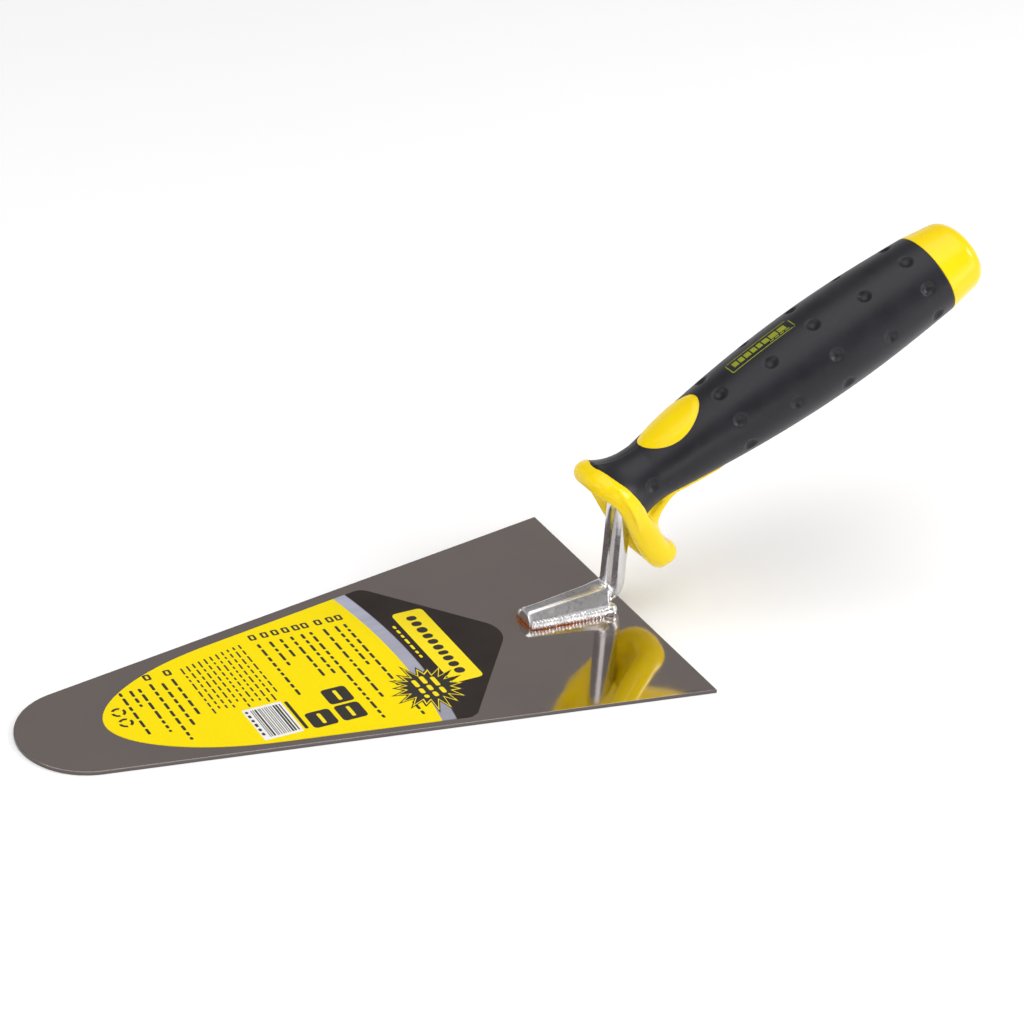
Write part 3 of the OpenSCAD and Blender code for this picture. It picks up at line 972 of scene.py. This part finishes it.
def end_cap_mesh():
    """Cap with a rounded end, and the hollow spigot that holds it in the core."""
    last = BUTT_S + CAP_LENGTH
    profile = [(BUTT_S, 0.22), (BUTT_S + 0.06, 0.08), (BUTT_S + 0.22, 0.02)]
    profile += [(s, CAP_DRAFT * (s - BUTT_S)) for s in np.linspace(BUTT_S + 0.5, last - CAP_ROUND, 9)]
    profile += [(last - CAP_ROUND * (1 - math.sin(a)), CAP_ROUND * (1 - math.cos(a))
                 + CAP_DRAFT * (last - CAP_ROUND * (1 - math.sin(a)) - BUTT_S))
                for a in np.linspace(0.1, math.pi / 2, 16)]
    n = 160
    angle = np.linspace(0, 2 * math.pi, n, endpoint=False)
    rings = [ring_points(np.full(n, s), angle, inset) for s, inset in profile]
    edge = rings[-1]
    middle = np.array([0, 0, last])
    for share in (0.94, 0.85, 0.7, 0.5, 0.25, 0.06):
        ring = middle + (edge - middle) * share
        rings.append(ring)
    inside = []
    for radius, s in SPIGOT:
        inside.append(np.stack([radius * np.cos(angle), radius * np.sin(angle), np.full(n, s)], -1))
    rings = inside[::-1] + rings
    points = np.concatenate(rings)
    faces = []
    for k in range(len(rings) - 1):
        for i in range(n):
            j = (i + 1) % n
            faces.append([k * n + i, (k + 1) * n + i, (k + 1) * n + j, k * n + j])
    faces.append(list(range(n)))
    faces.append([(len(rings) - 1) * n + i for i in range(n - 1, -1, -1)])
    return from_handle(points), faces


add_piece("end_cap_moulding", *end_cap_mesh(), ["end_cap"], "hard_plastic", PLASTIC)


# ---------------------------------------------------------------- print on the grip

PRINT_LIFT, PRINT_DEPTH = 0.03, 0.06


def grip_print():
    """A thin rounded frame with dashes in it, on the upper side of the grip."""
    points, faces = [], []

    def ribbon(s_from, s_to, y_from, y_to):
        """A patch that follows the grip between two places along it and two across it."""
        n_s = max(2, int(abs(s_to - s_from) / 0.5) + 1)
        n_y = max(2, int(abs(y_to - y_from) / 0.4) + 1)
        first = len(points)
        for lift in (-PRINT_DEPTH, PRINT_LIFT):
            for s in np.linspace(s_from, s_to, n_s):
                for y in np.linspace(y_from, y_to, n_y):
                    angle = math.asin(y / float(half_height(np.array(s)) * WIDTH_RATIO))
                    points.append(ring_points(np.array(float(s)), np.array(angle), -lift))
        layer = n_s * n_y
        for i in range(n_s - 1):
            for j in range(n_y - 1):
                a = first + i * n_y + j
                quad = [a, a + 1, a + n_y + 1, a + n_y]
                faces.append(quad)
                faces.append([q + layer for q in reversed(quad)])
        rim = ([first + j for j in range(n_y)] + [first + i * n_y + n_y - 1 for i in range(1, n_s)]
               + [first + (n_s - 1) * n_y + j for j in range(n_y - 2, -1, -1)]
               + [first + i * n_y for i in range(n_s - 2, 0, -1)])
        for a, b in zip(rim, rim[1:] + rim[:1]):
            faces.append([b, a, a + layer, b + layer])

    s0, s1, y0, y1, line = 42.2, 67.0, -2.6, 2.8, 0.3
    ribbon(s0 + 1, s1 - 1, y0, y0 + line)
    ribbon(s0 + 1, s1 - 1, y1 - line, y1)
    ribbon(s0, s0 + line, y0 + 1, y1 - 1)
    ribbon(s1 - line, s1, y0 + 1, y1 - 1)
    for s, y in ((s0, y0), (s0, y1), (s1, y0), (s1, y1)):
        toward_s, toward_y = (1 if s == s0 else -1), (1 if y == y0 else -1)
        for k in range(4):
            a, b = math.pi / 2 * k / 4, math.pi / 2 * (k + 1) / 4
            s_ends = (s + toward_s * (1 - math.cos(a)) - 0.05, s + toward_s * (1 - math.cos(b)) + 0.16)
            y_ends = (y + toward_y * (1 - math.sin(a)) - 0.02, y + toward_y * (1 - math.sin(b)) + 0.14)
            ribbon(*sorted(s_ends), *sorted(y_ends))
    rng = random.Random(4)
    s = s0 + 1.8
    while s < s1 - 3:
        length = rng.uniform(1.6, 3.0)
        ribbon(s, min(s + length, s1 - 1.6), -1.1, 1.2)
        s += length + 0.5
    for k in range(4):
        ribbon(s1 - 9.4 + 2 * k, s1 - 7.9 + 2 * k, 1.6, 2.0)
    return from_handle(np.array(points)), faces


add_piece("grip_print", *grip_print(), [], "soft_grip", GRIP_INK, smooth=False)


# ---------------------------------------------------------------- studio

def floor():
    """A plain pale floor, one large plane with a soft mottled surface."""
    m = Recipe("floor", Roughness=0.9, Specular_IOR_Level=0.1)
    m.set(Base_Color=m.mix(m.noise(3, 2), (0.97, 0.97, 0.97), (0.99, 0.99, 0.99)))
    mesh = bpy.data.meshes.new("floor")
    size = 12.0
    corners = [(-size, -size, 0), (size, -size, 0), (size, size, 0), (-size, size, 0)]
    mesh.from_pydata(corners, [], [(0, 1, 2, 3)])
    mesh.materials.append(m.material)
    made = bpy.data.objects.new("floor", mesh)
    bpy.context.scene.collection.objects.link(made)


def softbox(name, place, aim, size, power, colour=(1, 1, 1)):
    data = bpy.data.lights.new(name, "AREA")
    data.shape = "RECTANGLE"
    data.size, data.size_y = size
    data.energy = power
    data.color = colour
    made = bpy.data.objects.new(name, data)
    made.location = place
    made.rotation_mode = "QUATERNION"
    made.rotation_quaternion = (Vector(aim) - Vector(place)).to_track_quat("-Z", "Y")
    bpy.context.scene.collection.objects.link(made)


ROOM_GREY = (0.241, 0.2225, 0.2165, 1)


def studio_world():
    """A dim grey room that the blade reflects, lighter overhead and along the floor's edge."""
    world = bpy.data.worlds.new("studio")
    world.use_nodes = True
    bpy.context.scene.world = world
    tree = world.node_tree
    back = tree.nodes["Background"]
    place = tree.nodes.new("ShaderNodeTexCoord")
    split = tree.nodes.new("ShaderNodeSeparateXYZ")
    ramp = tree.nodes.new("ShaderNodeValToRGB")
    tree.links.new(place.outputs["Generated"], split.inputs[0])
    tree.links.new(split.outputs["Z"], ramp.inputs[0])
    tree.links.new(ramp.outputs[0], back.inputs["Color"])
    stops = ((0.2, (0.85, 0.85, 0.86, 1)), (0.31, ROOM_GREY),
             (0.72, ROOM_GREY), (0.93, (0.85, 0.85, 0.87, 1)))
    while len(ramp.color_ramp.elements) < len(stops):
        ramp.color_ramp.elements.new(0.5)
    for element, (position, _) in zip(ramp.color_ramp.elements, stops):
        element.position = position
    for element, (_, colour) in zip(ramp.color_ramp.elements, stops):
        element.color = colour


floor()
studio_world()
softbox("overhead", (0.1, 0.0, 1.5), (0.03, 0, 0), (1.5, 1.5), 10)
softbox("key", (0.9, 0.5, 1.1), (0, 0, 0.05), (0.9, 1.1), 3)
softbox("right", (-1.1, 0.45, 0.85), (-0.05, 0, 0.06), (0.35, 0.35), 6.5)
softbox("low_front", (0.3, 1.1, 0.12), (0, 0, 0.06), (0.9, 0.2), 2.2)
softbox("low_right", (-0.8, 0.7, 0.25), (0, 0, 0.03), (0.3, 0.5), 1.5)
softbox("low_left", (1.1, 0.1, 0.3), (0, 0, 0.03), (0.3, 0.5), 1.5)

camera_data = bpy.data.cameras.new("camera")
camera_data.lens = 100
camera_data.sensor_width = 36
camera_data.clip_start, camera_data.clip_end = 0.05, 40
camera = bpy.data.objects.new("camera", camera_data)
right, up, back = (-0.87040, 0.48755, 0.06858), (-0.19342, -0.46670, 0.86300), (0.45276, 0.73789, 0.50052)
camera.matrix_world = (Matrix.Translation((0.425454, 0.630655, 0.470379))
                       @ Matrix((right, up, back)).transposed().to_4x4())
bpy.context.scene.collection.objects.link(camera)
bpy.context.scene.camera = camera
bpy.context.scene.view_settings.view_transform = "Standard"
